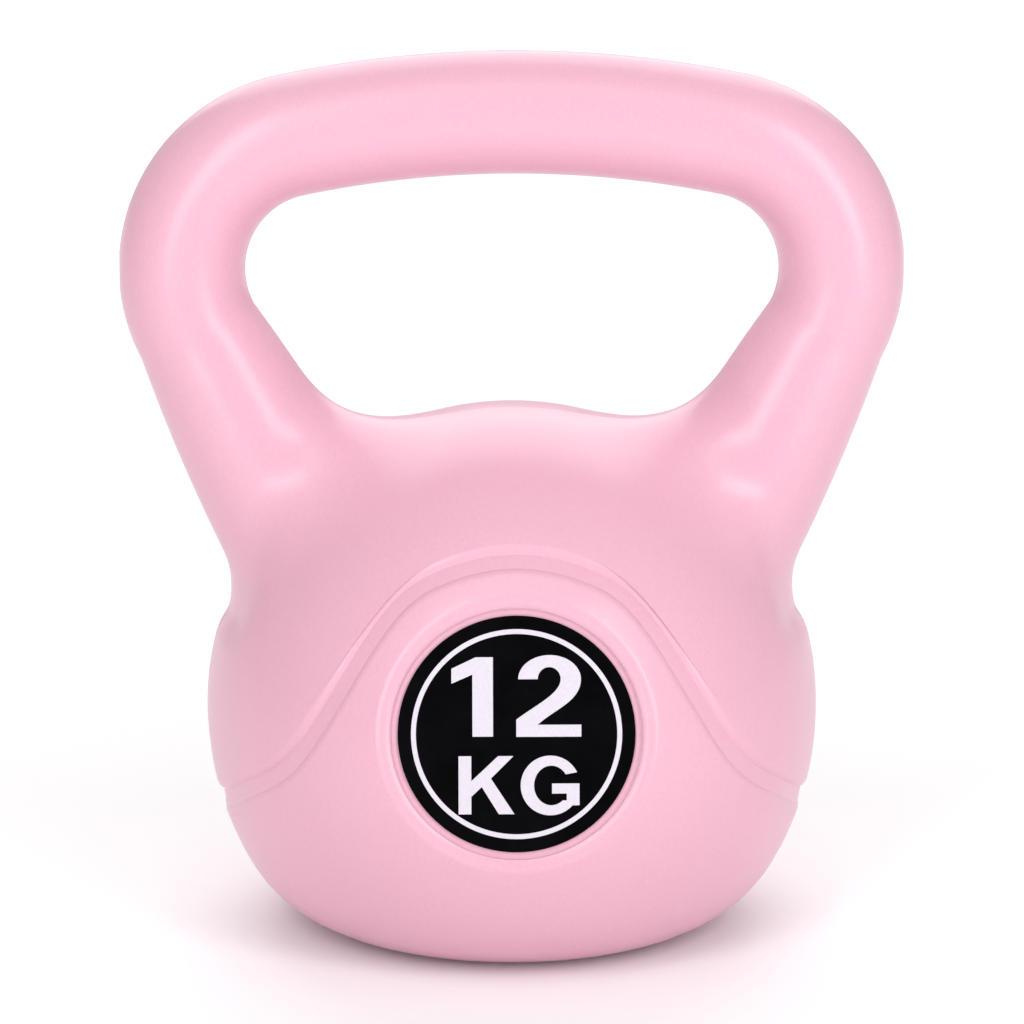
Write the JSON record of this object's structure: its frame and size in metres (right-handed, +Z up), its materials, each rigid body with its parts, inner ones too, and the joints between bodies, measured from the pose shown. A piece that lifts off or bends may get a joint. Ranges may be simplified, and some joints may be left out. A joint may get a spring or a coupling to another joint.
{
  "type": "kettlebell",
  "caption": "Round kettlebell: a moulded plastic skin with a looped handle, filled with ballast, with a flat base and a disc label front and back.",
  "frame": {"origin": "on the floor, under the middle of the ball", "axes": "+Z up; +X along the bar of the handle; -Y is the front"},
  "size_m": [0.2468, 0.1856, 0.2804],
  "materials": {
    "shell": "satin blow-moulded polyethylene, pale pink",
    "ballast": "rough cement with iron sand",
    "plug": "moulded black polyethylene",
    "label": "satin black vinyl"
  },
  "bodies": {
    "root": {"shell": "shell", "ballast_core": "ballast", "fill_plug": "plug", "front_label": "label", "back_label": "label"}
  },
  "joints": []
}
